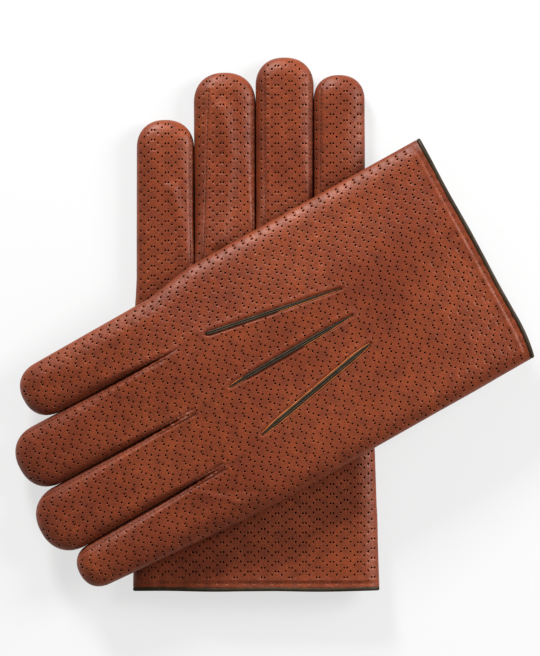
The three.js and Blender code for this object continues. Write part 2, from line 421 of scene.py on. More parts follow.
# ---------------------------------------------------------------- triangle sheets
def clip_sheet(sheet, value):
    """Keeps the part of a sheet where value is positive, and cuts the triangles that it crosses."""
    points, faces, dark = sheet
    inside = value > 0
    count = inside[faces].sum(axis=1)
    kept, kept_dark = [faces[count == 3]], [dark[count == 3]]
    lone = []
    for number in (1, 2):
        chosen = faces[count == number]
        odd = inside[chosen] if number == 1 else ~inside[chosen]
        turn = (odd.argmax(axis=1)[:, None] + np.arange(3)) % 3
        lone.append((number, np.take_along_axis(chosen, turn, axis=1), dark[count == number]))
    ends = np.concatenate([f[:, pair] for _, f, _ in lone for pair in ([0, 1], [0, 2])])
    edges, index = np.unique(np.sort(ends, axis=1), axis=0, return_inverse=True)
    a, b = edges.T
    t = (value[a] / (value[a] - value[b]))[:, None]
    cuts = points[a] + t * (points[b] - points[a])
    index = index.ravel() + len(points)
    start = 0
    for number, f, tag in lone:
        ab, ac = index[start:start + len(f)], index[start + len(f):start + 2 * len(f)]
        start += 2 * len(f)
        if number == 1:
            kept.append(np.column_stack([f[:, 0], ab, ac]))
            kept_dark.append(tag)
        else:
            kept += [np.column_stack([ab, f[:, 1], f[:, 2]]), np.column_stack([ab, f[:, 2], ac])]
            kept_dark += [tag, tag]
    return compact(np.vstack([points, cuts]), np.vstack(kept), np.concatenate(kept_dark))


def compact(points, faces, dark):
    used, renumbered = np.unique(faces, return_inverse=True)
    return points[used], renumbered.reshape(faces.shape), dark


def welded(positions, faces):
    """One vertex for each place. The last value says which faces have three corners, each face once."""
    _, first, index = np.unique(np.round(positions, 7), axis=0, return_index=True, return_inverse=True)
    faces = index.ravel()[faces]
    whole = (faces[:, 0] != faces[:, 1]) & (faces[:, 1] != faces[:, 2]) & (faces[:, 2] != faces[:, 0])
    _, once = np.unique(np.sort(faces, axis=1), axis=0, return_index=True)
    first_of_its_kind = np.zeros(len(faces), bool)
    first_of_its_kind[once] = True
    return positions[first], faces, whole & first_of_its_kind


def in_scene(name, data):
    obj = bpy.data.objects.new(name, data)
    bpy.context.scene.collection.objects.link(obj)
    return obj


def new_object(name, positions, faces, materials, slots=None, sharp=50):
    """A smooth mesh with creases over the given angle. Slots give each face its material."""
    positions, faces, whole = welded(positions, faces)
    faces = faces[whole]
    slots = None if slots is None else np.asarray(slots)[whole]
    mesh = bpy.data.meshes.new(name)
    mesh.vertices.add(len(positions))
    mesh.vertices.foreach_set("co", np.asarray(positions, np.float32).ravel())
    corners = faces.shape[1]
    mesh.loops.add(faces.size)
    mesh.loops.foreach_set("vertex_index", faces.astype(np.int32).ravel())
    mesh.polygons.add(len(faces))
    mesh.polygons.foreach_set("loop_start", np.arange(0, faces.size, corners, dtype=np.int32))
    for material in materials:
        mesh.materials.append(material)
    if slots is not None:
        mesh.polygons.foreach_set("material_index", np.asarray(slots, np.int32))
    mesh.update(calc_edges=True)
    mesh.validate()
    mesh.polygons.foreach_set("use_smooth", np.ones(len(mesh.polygons), bool))
    mesh.set_sharp_from_angle(angle=math.radians(sharp))
    return in_scene(name, mesh)


# ---------------------------------------------------------------- node helpers
def tree_socket(tree, name, kind, way="INPUT", value=None):
    socket = tree.interface.new_socket(name=name, in_out=way, socket_type=kind)
    if value is not None:
        socket.default_value = value
    return socket


def set_input(modifier, name, value):
    tree = modifier.node_group
    found = next(i for i in tree.interface.items_tree if i.name == name and i.in_out == "INPUT")
    modifier[found.identifier] = value


def evaluated_mesh(obj):
    depsgraph = bpy.context.evaluated_depsgraph_get()
    return bpy.data.meshes.new_from_object(obj.evaluated_get(depsgraph))


def chained(tree, *nodes):
    """Links the first output of each node to the first input of the next."""
    for node, following in zip(nodes, nodes[1:]):
        tree.links.new(node.outputs[0], following.inputs[0])


# ---------------------------------------------------------------- perforated leather, from one cell
# Depth classes of a hole's faces: the wall and floor take the near-black painted shadow, the rim's bevel a
# lighter painted highlight.
HOLE, RIM = 1, 2


def hole_centres():
    centres = []
    for column, drop in ((-COLUMN / 2, 0.0), (COLUMN / 2, COLUMN_DROP)):
        top = ROW / 2 - CELL_MARGIN - drop
        centres += [(column - PAIR_HALF, top), (column + PAIR_HALF, top)]
        shoulder = top - SHOULDER_DOWN
        centres += [(column - SHOULDER_OUT, shoulder), (column + SHOULDER_OUT, shoulder)]
    return centres


def ring(centre, radius):
    x, y = centre
    angles = (np.arange(HOLE_SIDES) + 0.5) * math.tau / HOLE_SIDES
    return [(x + radius * math.cos(a) / HOLE_LENGTHEN, y + radius * math.sin(a)) for a in angles]


def cell_mesh(centres):
    """One cell of perforated leather: flat, with a rolled rim, a wall and a floor at each hole."""
    across, up = CELL_GRID
    xs = np.linspace(-COLUMN, COLUMN, across + 1)
    ys = np.linspace(-ROW / 2, ROW / 2, up + 1)
    border = [(x, ys[0]) for x in xs] + [(x, ys[-1]) for x in xs]
    border += [(x, y) for y in ys[1:-1] for x in (xs[0], xs[-1])]
    filler = [(x, y) for x in xs[1:-1] for y in ys[1:-1]
              if min(math.hypot(x - cx, y - cy) for cx, cy in centres) > RIM_RADIUS + CELL_FILLER_AWAY]
    flat, edges = border + filler, []
    for centre in centres:
        first = len(flat)
        flat += ring(centre, RIM_RADIUS)
        edges += [(first + i, first + (i + 1) % HOLE_SIDES) for i in range(HOLE_SIDES)]
    points, _, faces, *_ = delaunay_2d_cdt([Vector(p) for p in flat], edges, [], 0, 1e-6)
    mesh = bmesh.new()
    hole = mesh.verts.layers.int.new("hole")
    deep = mesh.faces.layers.int.new("deep")
    verts = [mesh.verts.new((p.x, p.y, 0)) for p in points]
    for face in faces:
        middle = sum((points[i] for i in face), Vector((0, 0))) / len(face)
        away = min(math.hypot((middle.x - x) * HOLE_LENGTHEN, middle.y - y) for x, y in centres)
        if away > RIM_RADIUS * 0.9:
            mesh.faces.new([verts[i] for i in face])
    for number, centre in enumerate(centres):
        rings = [[min(verts, key=lambda w, p=p: (w.co.xy - Vector(p)).length)
                  for p in ring(centre, RIM_RADIUS)]]
        for radius, depth in ((HOLE_RADIUS, RIM_DEPTH), (HOLE_RADIUS * WALL_TAPER, HOLE_DEPTH)):
            rings.append([mesh.verts.new((x, y, -depth)) for x, y in ring(centre, radius)])
        bottom = mesh.verts.new((*centre, -HOLE_DEPTH))
        for w in [w for r in rings for w in r] + [bottom]:
            w[hole] = number + 1
        for level, (high, low) in enumerate(zip(rings, rings[1:])):
            for i in range(HOLE_SIDES):
                j = (i + 1) % HOLE_SIDES
                mesh.faces.new([high[i], high[j], low[j], low[i]])[deep] = RIM if level == 0 else HOLE
        for i in range(HOLE_SIDES):
            mesh.faces.new([rings[-1][i], rings[-1][(i + 1) % HOLE_SIDES], bottom])[deep] = HOLE
    bmesh.ops.triangulate(mesh, faces=mesh.faces[:])
    data = bpy.data.meshes.new("perforation_cell")
    mesh.to_mesh(data)
    mesh.free()
    return data


def sheet_tree():
    """Lays copies of a cell edge to edge and joins them into one sheet."""
    tree = bpy.data.node_groups.new("perforated_sheet", "GeometryNodeTree")
    tree_socket(tree, "Cell", "NodeSocketObject")
    tree_socket(tree, "Columns", "NodeSocketInt", value=SHEET_COLUMNS)
    tree_socket(tree, "Rows", "NodeSocketInt", value=SHEET_ROWS)
    tree_socket(tree, "Column pitch", "NodeSocketFloat", value=2 * COLUMN)
    tree_socket(tree, "Row pitch", "NodeSocketFloat", value=ROW)
    tree_socket(tree, "Leather", "NodeSocketMaterial")
    tree_socket(tree, "Geometry", "NodeSocketGeometry", "OUTPUT")
    new, link = tree.nodes.new, tree.links.new
    given, out = new("NodeGroupInput"), new("NodeGroupOutput")
    grid = new("GeometryNodeMeshGrid")
    for count, pitch, vertices, size in (("Columns", "Column pitch", "Vertices X", "Size X"),
                                         ("Rows", "Row pitch", "Vertices Y", "Size Y")):
        gaps, length = new("ShaderNodeMath"), new("ShaderNodeMath")
        gaps.operation, length.operation = "SUBTRACT", "MULTIPLY"
        gaps.inputs[1].default_value = 1
        link(given.outputs[count], gaps.inputs[0])
        link(gaps.outputs[0], length.inputs[0])
        link(given.outputs[pitch], length.inputs[1])
        link(given.outputs[count], grid.inputs[vertices])
        link(length.outputs[0], grid.inputs[size])
    cell, copies = new("GeometryNodeObjectInfo"), new("GeometryNodeInstanceOnPoints")
    real = new("GeometryNodeRealizeInstances")
    joined, finish = new("GeometryNodeMergeByDistance"), new("GeometryNodeSetMaterial")
    joined.inputs["Distance"].default_value = 0.01
    link(given.outputs["Cell"], cell.inputs["Object"])
    link(cell.outputs["Geometry"], copies.inputs["Instance"])
    link(given.outputs["Leather"], finish.inputs["Material"])
    chained(tree, grid, copies, real, joined, finish, out)
    return tree


def mesh_arrays(mesh):
    points = np.empty(len(mesh.vertices) * 3)
    mesh.vertices.foreach_get("co", points)
    mesh.calc_loop_triangles()
    faces = np.empty(len(mesh.loop_triangles) * 3, np.int32)
    mesh.loop_triangles.foreach_get("vertices", faces)
    polygon = np.empty(len(mesh.loop_triangles), np.int32)
    mesh.loop_triangles.foreach_get("polygon_index", polygon)
    return points.reshape(-1, 3), faces.reshape(-1, 3), polygon


def perforated_sheet(leather):
    """(points, faces, depth class of each face, centre of each point's hole or NaN)."""
    centres = hole_centres()
    cell = in_scene("perforation_cell", cell_mesh(centres))
    carrier = in_scene("perforated_sheet", bpy.data.meshes.new("perforated_sheet"))
    modifier = carrier.modifiers.new("perforated_sheet", "NODES")
    modifier.node_group = sheet_tree()
    set_input(modifier, "Cell", cell)
    set_input(modifier, "Columns", SHEET_COLUMNS)
    set_input(modifier, "Rows", SHEET_ROWS)
    set_input(modifier, "Leather", leather)
    mesh = evaluated_mesh(carrier)
    points, faces, polygon = mesh_arrays(mesh)
    hole = np.empty(len(points), np.int32)
    mesh.attributes["hole"].data.foreach_get("value", hole)
    deep = np.empty(len(mesh.polygons), np.int32)
    mesh.attributes["deep"].data.foreach_get("value", deep)
    width = 2 * COLUMN
    column = np.floor(points[:, 0] / width + SHEET_COLUMNS / 2)
    row = np.floor(points[:, 1] / ROW + SHEET_ROWS / 2)
    local = np.array([(math.nan, math.nan)] + centres)[hole]
    centre_u = local[:, 0] + (column + 0.5 - SHEET_COLUMNS / 2) * width
    centre_v = local[:, 1] + (row + 0.5 - SHEET_ROWS / 2) * ROW + SHEET_CENTRE_V
    points[:, 1] += SHEET_CENTRE_V
    for obj in (carrier, cell):
        bpy.data.objects.remove(obj)
    return points, faces, deep[polygon], np.column_stack([centre_u, centre_v])


def punched(sheet, allowed):
    """Closes the holes whose centres aren't allowed, and returns (points, faces, dark)."""
    points, faces, deep, centres = sheet
    points = points.copy()
    has_hole = ~np.isnan(centres[:, 0])
    closed = np.zeros(len(points), bool)
    closed[has_hole] = ~allowed(centres[has_hole, 0], centres[has_hole, 1])
    points[closed, 2] = 0
    return points, faces, np.where(closed[faces].all(axis=1), 0, deep)


def holes_allowed(glove):
    def allowed(u, v):
        inside = hand_side(glove, u, v)
        for number, fork in enumerate(FORKS):
            from_gap = np.abs(u - gap_at(glove, number, v))
            inside = np.where(v > fork - 1, np.minimum(inside, from_gap), inside)
        distances = [finger_distance(finger, u, v) for finger in glove["fingers"].values()]
        inside = np.where(v > max(FORKS), np.choose(finger_number(glove, u, v), distances), inside)
        good = (inside > HOLE_MARGIN) & (v > CUFF_CLEAR)
        for _, start, end in seam_lines(glove):
            good &= line_distance(u, v, start, end)[0] > SEAM_CLEAR
        for start, end in POINTS:
            good &= line_distance(u, v, start, end)[0] > POINT_CLEAR
        return good
    return allowed


# ---------------------------------------------------------------- materials
def node_material(name):
    material = bpy.data.materials.new(name)
    material.use_nodes = True
    tree = material.node_tree
    return material, tree, tree.nodes["Principled BSDF"]


def noise(tree, vector, scale, detail=4.0, roughness=0.55):
    node = tree.nodes.new("ShaderNodeTexNoise")
    node.inputs["Scale"].default_value = scale
    node.inputs["Detail"].default_value = detail
    node.inputs["Roughness"].default_value = roughness
    tree.links.new(vector, node.inputs["Vector"])
    return node.outputs["Fac"]


def ranged(tree, value, low, high, to_low=0.0, to_high=1.0):
    node = tree.nodes.new("ShaderNodeMapRange")
    for name, number in (("From Min", low), ("From Max", high), ("To Min", to_low), ("To Max", to_high)):
        node.inputs[name].default_value = number
    tree.links.new(value, node.inputs["Value"])
    return node.outputs["Result"]


def mixed(tree, factor, a, b):
    node = tree.nodes.new("ShaderNodeMix")
    node.data_type = "RGBA"
    for socket, value in ((node.inputs[0], factor), (node.inputs[6], a), (node.inputs[7], b)):
        if isinstance(value, bpy.types.NodeSocket):
            tree.links.new(value, socket)
        else:
            socket.default_value = value
    return node.outputs[2]


def math_node(tree, operation, a, b):
    node = tree.nodes.new("ShaderNodeMath")
    node.operation = operation
    for socket, value in zip(node.inputs, (a, b)):
        if isinstance(value, bpy.types.NodeSocket):
            tree.links.new(value, socket)
        else:
            socket.default_value = value
    return node.outputs[0]


def colour(r, g, b):
    """A linear colour from 0 to 255 values."""
    shares = [c / 255 for c in (r, g, b)]
    return (*(c / 12.92 if c <= 10 / 255 else ((c + 0.055) / 1.055) ** 2.4 for c in shares), 1.0)


# How many to the metre: clouds of colour, mottling, pores and fine grain.
CLOUDS = 26
MOTTLES = 190
PORES = 1900.0
FINE_GRAIN = 620


def leather_grain_group():
    """Colour, roughness and surface height of glazed glove leather."""
    group = bpy.data.node_groups.new("glove_leather_grain", "ShaderNodeTree")
    for name in ("Deep", "Body", "Glaze"):
        tree_socket(group, name, "NodeSocketColor")
    for name, value in (("Grain size", 1.0), ("Gloss", 0.5)):
        tree_socket(group, name, "NodeSocketFloat", value=value)
    for name, kind in (("Colour", "Color"), ("Roughness", "Float"), ("Height", "Float")):
        tree_socket(group, name, f"NodeSocket{kind}", "OUTPUT")
    given, out = group.nodes.new("NodeGroupInput"), group.nodes.new("NodeGroupOutput")
    place = group.nodes.new("ShaderNodeTexCoord").outputs["Object"]
    cloudy = ranged(group, noise(group, place, CLOUDS, 3), 0.35, 0.65)
    mottled = ranged(group, noise(group, place, MOTTLES, 5, 0.6), 0.3, 0.7)
    pores = group.nodes.new("ShaderNodeTexVoronoi")
    pores.feature = "F1"
    size = math_node(group, "DIVIDE", PORES, given.outputs["Grain size"])
    group.links.new(size, pores.inputs["Scale"])
    group.links.new(place, pores.inputs["Vector"])
    pebble = ranged(group, pores.outputs["Distance"], 0.0, 0.75, 1.0, 0.0)
    tone = mixed(group, cloudy, given.outputs["Body"], given.outputs["Glaze"])
    speck = mixed(group, math_node(group, "MULTIPLY", mottled, 0.55), tone, given.outputs["Deep"])
    darkened = ranged(group, pores.outputs["Distance"], 0.42, 0.8, 0.0, 0.35)
    between = mixed(group, darkened, speck, given.outputs["Deep"])
    rough = math_node(group, "ADD", given.outputs["Gloss"], ranged(group, mottled, 0, 1, -0.06, 0.09))
    height = math_node(group, "ADD", math_node(group, "MULTIPLY", pebble, 0.6),
                       math_node(group, "MULTIPLY", noise(group, place, FINE_GRAIN, 4), 0.7))
    group.links.new(between, out.inputs["Colour"])
    group.links.new(rough, out.inputs["Roughness"])
    group.links.new(height, out.inputs["Height"])
    return group


def use_group(tree, group, **values):
    node = tree.nodes.new("ShaderNodeGroup")
    node.node_tree = group
    for name, value in values.items():
        node.inputs[name.replace("_", " ")].default_value = value
    return node


def bumped(tree, shader, height, strength, depth):
    bump = tree.nodes.new("ShaderNodeBump")
    bump.inputs["Strength"].default_value = strength
    bump.inputs["Distance"].default_value = depth
    tree.links.new(height, bump.inputs["Height"])
    tree.links.new(bump.outputs["Normal"], shader.inputs["Normal"])


GRAIN = leather_grain_group()
GRAIN_DEPTH = 0.0002


def leather(name, deep, body, glaze, gloss=0.46, grain=1.0, bump=0.35, coat=0.07):
    material, tree, shader = node_material(name)
    grained = use_group(tree, GRAIN, Deep=colour(*deep), Body=colour(*body), Glaze=colour(*glaze),
                        Grain_size=grain, Gloss=gloss)
    tree.links.new(grained.outputs["Colour"], shader.inputs["Base Color"])
    tree.links.new(grained.outputs["Roughness"], shader.inputs["Roughness"])
    bumped(tree, shader, grained.outputs["Height"], bump, GRAIN_DEPTH)
    shader.inputs["Specular IOR Level"].default_value = 0.3
    shader.inputs["Coat Weight"].default_value = coat
    shader.inputs["Coat Roughness"].default_value = 0.38
    shader.inputs["Sheen Weight"].default_value = 0.02
    shader.inputs["Sheen Roughness"].default_value = 0.5
    return material


MATERIALS = {
    "back": leather("cognac_back_leather", (76, 31, 15), (124, 58, 31), (140, 70, 39), bump=0.6),
    "palm": leather("cognac_palm_leather", (70, 29, 15), (113, 52, 28), (127, 63, 35), gloss=0.5, bump=0.6),
    # The gusset leather is a shade darker than the back: painted shade for the strips beside the gaps between
    # the fingers.
    "gusset": leather("cognac_gusset_leather", (68, 29, 15), (116, 53, 28), (131, 65, 35), gloss=0.48,
                      bump=0.6),
    "hole": leather("punched_hole_shadow", (12, 6, 4), (26, 11, 7), (34, 15, 9), gloss=0.85, coat=0.0),
    # Lighter colour on the bevel round each hole: a painted highlight, as of the rim catching the light.
    "rim": leather("hole_rim_painted_highlight", (108, 50, 28), (160, 88, 56), (178, 104, 70), gloss=0.42),
    "suede": leather("suede_flesh_side", (70, 36, 24), (112, 62, 42), (128, 74, 52), gloss=0.9, grain=0.6,
                     bump=0.6, coat=0.0),
    "piping": leather("olive_piping", (24, 17, 9), (52, 40, 24), (68, 53, 33), gloss=0.56, coat=0.0),
    "raw_edge": leather("raw_tan_edge", (140, 74, 36), (196, 118, 66), (210, 134, 80), gloss=0.8, coat=0.0),
    "thread": leather("dark_sewing_thread", (40, 16, 9), (70, 30, 18), (84, 38, 24), gloss=0.7, grain=0.5,
                      coat=0.0),
}


def punched_materials(part):
    return [MATERIALS[part], MATERIALS["hole"], MATERIALS["rim"]]


SHEET = perforated_sheet(MATERIALS["back"])


# ---------------------------------------------------------------- skins
def finger_names(glove):
    return list(glove["fingers"])


def skin(glove, sheet, face, mask_of):
    """A perforated skin of one glove on one face, clipped by each mask in turn: (positions, faces, dark)."""
    for mask in mask_of:
        sheet = clip_sheet(sheet, mask(sheet[0][:, 0], sheet[0][:, 1]))
    points, faces, dark = sheet
    u, v = points[:, 0], points[:, 1]
    z = outer(glove, u, v, face) + face * points[:, 2]
    if face * glove["side"] < 0:
        faces = faces[:, ::-1]
    return laid(glove, u, v, z), faces, dark


def merged(*skins):
    positions, faces, dark, start = [], [], [], 0
    for p, f, d in skins:
        positions.append(p)
        faces.append(f + start)
        dark.append(d)
        start += len(p)
    return np.vstack(positions), np.vstack(faces), np.concatenate(dark)


def hand_masks(glove):
    return [lambda u, v: FINGER_ROOT - v, lambda u, v: v, lambda u, v: hand_side(glove, u, v)]


def finger_masks(glove, name):
    number = finger_names(glove).index(name)
    finger = glove["fingers"][name]
    masks = [lambda u, v: v - FINGER_ROOT]
    if number:
        masks.append(lambda u, v: u - gap_at(glove, number - 1, v))
    if number < len(FORKS):
        masks.append(lambda u, v: gap_at(glove, number, v) - u)

    def inside(u, v):
        """Closed across the hand below the forks, open between the fingers above them."""
        distance = finger_distance(finger, u, v)
        for gap, toward in ((number - 1, -1), (number, 1)):
            if 0 <= gap < len(FORKS):
                centre, _ = finger_span(finger, v)
                below = (v < FORKS[gap] + 0.2) & (toward * (u - centre) > 0)
                distance = np.where(below, np.maximum(distance, 0.5), distance)
        return distance
    return masks + [inside]


def strip_side(glove, name):
    """For each seam of a finger: positive on the gusset's side of the line."""
    finger = glove["fingers"][name]
    sides = {}
    for found, start, end in seam_lines(glove):
        if found != name:
            continue
        way = "little" if start[0] < sum(finger["root"]) / 2 else "index"
        sign = -1 if way == "little" else 1
        d = np.subtract(end, start)
        sides[way] = lambda u, v, s=start, d=d, sign=sign: sign * (
            (u - s[0]) - (v - s[1]) * d[0] / d[1])
    return sides


def blend_finger(obj, glove, name):
    finger = glove["fingers"][name]
    centre = np.array([sum(finger["root"]) / 2])
    ends = [laid(glove, centre, np.array([finger["fold"] + reach]), np.array([0.0]))[0]
            for reach in (-FOLD_REACH, FOLD_REACH)]
    ends[1][2] = ends[0][2]
    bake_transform(obj)


def make_hand(glove):
    hand = glove["hand"]
    sheet = punched(SHEET, holes_allowed(glove))
    for face, part in ((1, "back"), (-1, "palm")):
        positions, faces, dark = skin(glove, sheet, face, hand_masks(glove))
        obj = new_object(f"{hand}_{part}_leather", positions, faces, punched_materials(part), dark)
        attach(obj, f"{hand}_glove")
        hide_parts(f"{hand}_{part}_panel")


def make_fingers(glove):
    hand = glove["hand"]
    names = finger_names(glove)
    sheet = punched(SHEET, holes_allowed(glove))
    for number, name in enumerate(names):
        masks = finger_masks(glove, name)
        sides = strip_side(glove, name)
        core = [(lambda u, v, f=f: -f(u, v)) for f in sides.values()]
        main = merged(*(skin(glove, sheet, face, masks + core) for face in (1, -1)))
        obj = new_object(f"{hand}_{name}_finger_leather", *main[:2], punched_materials("back"), main[2])
        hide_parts(f"{hand}_{name}_finger")
        blend_finger(obj, glove, name)
        for way, f in sides.items():
            strip = merged(*(skin(glove, sheet, face, masks + [f]) for face in (1, -1)))
            gusset = new_object(f"{hand}_{name}_fourchette_{way}_side", *strip[:2],
                                punched_materials("gusset"), strip[2])
            neighbour = number if way == "index" else number - 1
            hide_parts(f"{hand}_fourchette_{names[neighbour]}_{names[neighbour + 1]}")
            blend_finger(gusset, glove, name)


# ---------------------------------------------------------------- inside, thumb
def plain_sheet(u_range, v_range, step):
    us = np.arange(u_range[0], u_range[1] + step, step)
    vs = np.arange(v_range[0], v_range[1] + step, step)
    u, v = np.meshgrid(us, vs)
    points = np.column_stack([u.ravel(), v.ravel(), np.zeros(u.size)])
    i = np.arange(u.size).reshape(u.shape)
    a, b, c, d = i[:-1, :-1].ravel(), i[:-1, 1:].ravel(), i[1:, 1:].ravel(), i[1:, :-1].ravel()
    faces = np.vstack([np.column_stack([a, b, c]), np.column_stack([a, c, d])])
    return points, faces, np.zeros(len(faces), np.int32)


INSIDE_REACH = (-60, 60)
INSIDE_LENGTH = (0, 150)
INSIDE_STEP = 1.5


def make_inside(glove):
    """The flesh side of the hand's leather, seen through the open cuff."""
    skins = []
    for face in (1, -1):
        sheet = plain_sheet(INSIDE_REACH, INSIDE_LENGTH, INSIDE_STEP)
        points = sheet[0]
        room = half_thickness(glove, points[:, 0], points[:, 1]) - LEATHER
        room = np.minimum(room, FINGER_ROOT - points[:, 1])
        points, faces, dark = clip_sheet(sheet, room)
        u, v = points[:, 0], points[:, 1]
        z = MIDDLE + face * np.maximum(half_thickness(glove, u, v) - LEATHER, 0)
        if face * glove["side"] > 0:
            faces = faces[:, ::-1]
        skins.append((laid(glove, u, v, z), faces, dark))
    positions, faces, _ = merged(*skins)
    obj = new_object(f"{glove['hand']}_inner_leather", positions, faces, [MATERIALS["suede"]])
    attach(obj, f"{glove['hand']}_glove")


def thumb_distance(u, v):
    half = np.interp(v, (0, THUMB["length"]), (THUMB["root_width"] / 2, THUMB["tip_width"] / 2))
    tip = THUMB["tip_width"] / 2
    ahead = np.maximum(v - (THUMB["length"] - tip), 0)
    behind = np.maximum(THUMB_FOOT - v, 0)
    return half - np.sqrt(u ** 2 + ahead ** 2 + behind ** 2 * 4)


def make_thumb(glove):
    """A sewn leather tube, pressed flat and folded in under the palm."""
    hand = glove["hand"]
    half = THUMB["height"] / 2

    def allowed(u, v):
        return (thumb_distance(u, v) > 1.6) & (v > 6)
    sheet = punched(SHEET, allowed)
    sheet = clip_sheet(sheet, thumb_distance(sheet[0][:, 0], sheet[0][:, 1]))
    points, faces, dark = sheet
    u, v = points[:, 0], points[:, 1]
    skins = []
    for face in (1, -1):
        swollen = half * swell(thumb_distance(u, v), THUMB_ROLL)
        crease = 0.12 * waves(u, v, THUMB_SEEDS[hand], 12) * np.clip(swollen / half, 0, 1)
        z = half + THUMB_REST + face * (swollen * 0.96 + np.minimum(crease, 0) + points[:, 2])
        c, s = math.cos(THUMB_TUCK), math.sin(THUMB_TUCK)
        palm_u, palm_v = THUMB["root"][0] + u * c - v * s, THUMB["root"][1] + u * s + v * c
        turned = faces[:, ::-1] if face * glove["side"] < 0 else faces
        skins.append((laid(glove, palm_u, palm_v, z, lifted=False), turned, dark))
    positions, faces, dark = merged(*skins)
    obj = new_object(f"{hand}_thumb_leather", positions, faces, punched_materials("palm"), dark)
    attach(obj, f"{hand}_thumb_body")
    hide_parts(f"{hand}_thumb")


# ---------------------------------------------------------------- piping: cuff edge and back points
def swept(rings, closed_path, materials, name):
    """A tube through rings of points, given as an array (steps, sides, 3). An open one gets end caps."""
    steps, sides, _ = rings.shape
    quads = []
    last = steps if closed_path else steps - 1
    for i in range(last):
        j = (i + 1) % steps
        for k in range(sides):
            n = (k + 1) % sides
            quads.append((i * sides + k, i * sides + n, j * sides + n, j * sides + k))
    quads = np.array(quads)
    faces = np.vstack([quads[:, [0, 1, 2]], quads[:, [0, 2, 3]]])
    positions = rings.reshape(-1, 3)
    if not closed_path:
        centres = np.array([rings[0].mean(axis=0), rings[-1].mean(axis=0)])
        base = len(positions)
        positions = np.vstack([positions, centres])
        k = np.arange(sides)
        first = np.column_stack([np.full(sides, base), (k + 1) % sides, k])
        end = (steps - 1) * sides
        final = np.column_stack([np.full(sides, base + 1), end + k, end + (k + 1) % sides])
        faces = np.vstack([faces, first, final])
    obj = new_object(name, positions, faces, materials, sharp=70)
    face_outwards(obj)
    return obj


def face_outwards(obj):
    mesh = bmesh.new()
    mesh.from_mesh(obj.data)
    bmesh.ops.recalc_face_normals(mesh, faces=mesh.faces[:])
    mesh.to_mesh(obj.data)
    mesh.free()


# The cuff's piping: places round the edge, sides of its roll, and its half widths in mm.
CUFF_COUNT = 150
CUFF_REACH = 56.2
PIPING_SIDES = 12
PIPING_ALONG = 0.95
PIPING_ACROSS = 0.85
PIPING_SQUARENESS = 0.8
PIPING_V = -0.85


def cuff_loop(glove):
    """Places round the cuff's edge at mid leather: u, z and the outward direction in that plane."""
    turn = np.linspace(0, math.tau, CUFF_COUNT, endpoint=False)
    u = CUFF_REACH * (np.sign(np.cos(turn)) * np.abs(np.cos(turn)) ** 0.5)
    face = np.where(np.sin(turn) >= 0, 1, -1)
    zero = np.zeros_like(u)
    z = MIDDLE + face * np.maximum(half_thickness(glove, u, zero) - LEATHER / 2, 0)
    ahead = np.column_stack([np.roll(u, -1) - np.roll(u, 1), np.roll(z, -1) - np.roll(z, 1)])
    ahead /= np.linalg.norm(ahead, axis=1)[:, None]
    return u, z, np.column_stack([ahead[:, 1], -ahead[:, 0]])


def squared_off(value):
    """Makes a round section a little squarer."""
    return math.copysign(abs(value) ** PIPING_SQUARENESS, value)


def make_cuff_piping(glove):
    hand = glove["hand"]
    u, z, out = cuff_loop(glove)
    pucker = 1 + 0.06 * np.sin(np.arange(len(u)) * 2.1)
    wander = 0.16 * np.sin(u * 0.13 + glove["side"])
    rings = []
    for angle in np.arange(PIPING_SIDES) * math.tau / PIPING_SIDES:
        along = PIPING_ALONG * squared_off(math.cos(angle))
        across = PIPING_ACROSS * squared_off(math.sin(angle))
        rings.append(laid(glove, u + out[:, 0] * across * pucker, PIPING_V + wander + along,
                          z + out[:, 1] * across * pucker))
    obj = swept(np.stack(rings, axis=1), True, [MATERIALS["piping"]], f"{hand}_cuff_piping_roll")
    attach(obj, f"{hand}_glove")
    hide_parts(f"{hand}_cuff_piping")


def opening(t, wrist, finger):
    """How open a point is along its length: it tapers over the given parts of its two ends."""
    return np.clip(t / wrist, 0, 1) ** 0.6 * np.clip((1 - t) / finger, 0, 1) ** 0.6


STRIP_SIDES = 10
ROLL_STEPS = 64
EDGE_STEPS = 48
LEAST_HALF = 0.06


def point_strip(glove, ends, name, t, offset, half, height, base, material):
    """A raised strip along a point, from t[0] to t[-1] of its length, drawn to one side of its line."""
    start, end = np.array(ends[1], float), np.array(ends[0], float)
    along = (end - start) / np.linalg.norm(end - start)
    across = np.array([along[1], -along[0]])
    rings = []
    for k in range(STRIP_SIDES):
        angle = k * math.tau / STRIP_SIDES
        x = offset + half * math.cos(angle)
        rise = height * math.sin(angle)
        u = start[0] + t * (end - start)[0] + across[0] * x
        v = start[1] + t * (end - start)[1] + across[1] * x
        flat = MIDDLE + half_thickness(glove, u, v)
        rings.append(laid(glove, u, v, flat + base + rise))
    return swept(np.stack(rings, axis=1), False, [MATERIALS[material]], name)


# For each point: its half width, the parts of its ends that taper (wrist, finger), and its cut edges
# as (side, from, to), where side is 1 towards the index finger.
POINT_FORMS = (
    {"half": 0.82, "taper": (0.5, 0.03), "edges": ((1, 0.02, 0.5),)},
    {"half": 0.95, "taper": (0.3, 0.2), "edges": ((1, 0.0, 0.42), (1, 0.86, 1.0), (-1, 0.88, 1.0))},
    {"half": 1.05, "taper": (0.14, 0.14), "edges": ((1, 0.0, 1.0), (-1, 0.0, 1.0))},
)


